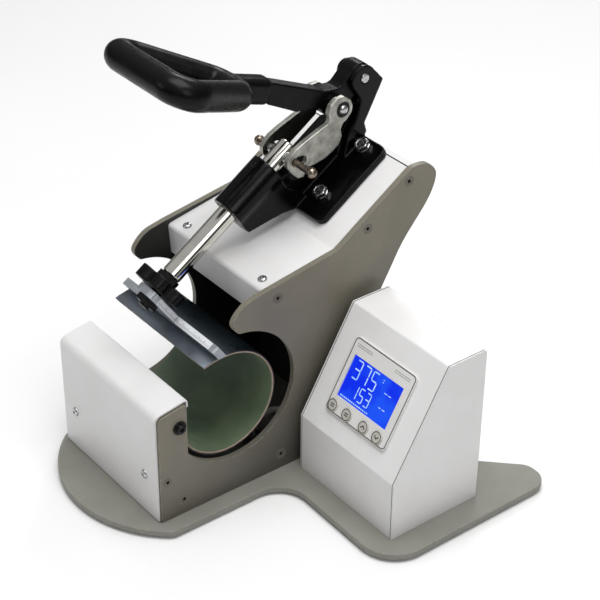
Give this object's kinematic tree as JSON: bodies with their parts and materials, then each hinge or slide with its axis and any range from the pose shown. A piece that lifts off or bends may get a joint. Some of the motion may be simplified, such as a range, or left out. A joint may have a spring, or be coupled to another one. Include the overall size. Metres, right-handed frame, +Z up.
{
  "type": "mug heat press",
  "caption": "Bench mug heat press: padded heater wrap between profiled side plates, toggle clamp with loop grip and pressure knob, and a sloping digital control box on one base plate.",
  "frame": {"origin": "centre of the bounding box at table level, under the feet", "axes": "+Z up and the longest extent; -Y is the front with the handle loop and the display; +X runs from the press frame to the control box"},
  "size_m": [0.2986, 0.326, 0.3755],
  "materials": {
    "grey_paint": "satin hammered powder coat",
    "white_paint": "satin powder coat",
    "black_casting": "gloss black paint",
    "black_screws": "black oxide",
    "zinc_steel": "bright zinc",
    "link_zinc": "dull zinc",
    "tinted_steel": "yellow zinc",
    "chrome": "hard chrome",
    "bar_steel": "plain",
    "bush_bronze": "sintered bronze",
    "wrap_steel": "thin sheet",
    "silicone": "silicone heater mat",
    "liner_green": "silicone facing",
    "lead_sleeve": "silicone sleeve",
    "foot_rubber": "matte",
    "grip_rubber": "satin",
    "knob_plastic": "satin",
    "dark_plastic": "matte",
    "panel_film": "satin film",
    "button_grey": "satin",
    "lcd_blue": "backlit window",
    "board_green": "solder mask",
    "board_nylon": "nylon",
    "strip_white": "printed scale"
  },
  "bodies": {
    "frame": {"base_plate": "grey_paint", "rubber_feet": "foot_rubber", "foot_screws": "zinc_steel", "left_side_plate": "grey_paint", "right_side_plate": "grey_paint", "side_screws": "grey_paint", "frame_ties": "zinc_steel", "front_cover": "white_paint", "cover_screws": "zinc_steel", "wrap_anchor_bar": "zinc_steel", "wrap_anchor_bolts": "black_screws", "clamp_bridge": "white_paint", "rear_cover": "white_paint", "wrap_band": "wrap_steel", "wrap_heater_mat": "silicone", "wrap_liner": "liner_green", "heater_lead": "lead_sleeve", "lead_grommets": "foot_rubber", "clamp_base": "black_casting", "barrel_bush": "bush_bronze", "barrel_set_screw": "zinc_steel", "clamp_washers": "zinc_steel", "clamp_bolts": "zinc_steel", "clamp_nuts": "zinc_steel", "handle_pivot_pin": "zinc_steel", "control_cover": "white_paint", "control_side_left": "white_paint", "control_side_right": "white_paint", "display_bezel": "panel_film", "lcd_window": "lcd_blue", "control_board": "board_green", "board_posts": "board_nylon", "relay_module": "dark_plastic", "mains_inlet": "dark_plastic", "power_switch_body": "dark_plastic", "fuse_holder": "dark_plastic"},
    "handle": {"handle_lever": "black_casting", "handle_grip": "grip_rubber", "link_pin": "zinc_steel", "link_spacers": "zinc_steel"},
    "links": {"link_left": "link_zinc", "link_right": "link_zinc", "link_bushes": "black_screws"},
    "plunger": {"plunger_rod": "chrome", "cross_pin": "tinted_steel", "pin_sleeves": "zinc_steel", "adjuster_stud": "zinc_steel", "adjuster_nuts": "black_screws", "thrust_bracket": "bar_steel", "pressure_bar": "bar_steel", "scale_strip": "strip_white", "flap_band": "wrap_steel", "flap_heater_mat": "silicone", "flap_liner": "liner_green"},
    "knob": {"pressure_knob": "knob_plastic"},
    "button_1": {"button_1": "button_grey"},
    "button_2": {"button_2": "button_grey"},
    "button_3": {"button_3": "button_grey"},
    "button_4": {"button_4": "button_grey"},
    "rocker": {"power_rocker": "dark_plastic"}
  },
  "joints": [
    {"name": "handle_hinge", "type": "hinge", "parent": "frame", "child": "handle", "pos_m": [-0.07175, 0.1245, 0.30641], "axis": [-1, 0, 0], "range_deg": [0, 72]},
    {"name": "link_hinge", "type": "hinge", "parent": "handle", "child": "links", "pos_m": [-0.07175, 0.09798, 0.28852], "axis": [-1, 0, 0], "range_deg": [-103.85, 0]},
    {"name": "plunger_slide", "type": "slide", "parent": "frame", "child": "plunger", "axis": [0, 0.829, 0.5592], "range_m": [0, 0.03079]},
    {"name": "knob_turn", "type": "hinge", "parent": "plunger", "child": "knob", "pos_m": [-0.07175, -0.06949, 0.17556], "axis": [0, 0.829, 0.5592], "range_deg": [-1080, 1080]},
    {"name": "button_1_press", "type": "slide", "parent": "frame", "child": "button_1", "axis": [0, 0.8679, -0.4968], "range_m": [0, 0.001], "stiffness_N_per_m": 500},
    {"name": "button_2_press", "type": "slide", "parent": "frame", "child": "button_2", "axis": [0, 0.8679, -0.4968], "range_m": [0, 0.001], "stiffness_N_per_m": 500},
    {"name": "button_3_press", "type": "slide", "parent": "frame", "child": "button_3", "axis": [0, 0.8679, -0.4968], "range_m": [0, 0.001], "stiffness_N_per_m": 500},
    {"name": "button_4_press", "type": "slide", "parent": "frame", "child": "button_4", "axis": [0, 0.8679, -0.4968], "range_m": [0, 0.001], "stiffness_N_per_m": 500},
    {"name": "rocker_tilt", "type": "hinge", "parent": "frame", "child": "rocker", "pos_m": [0.07825, 0.09815, 0.04], "axis": [0, 0, 1], "range_deg": [0, 16]}
  ],
  "couplings": [
    {"joint": "link_hinge", "follows": "handle_hinge", "ratio": -1.4396},
    {"joint": "plunger_slide", "follows": "handle_hinge", "m_per_rad": 0.02446}
  ]
}
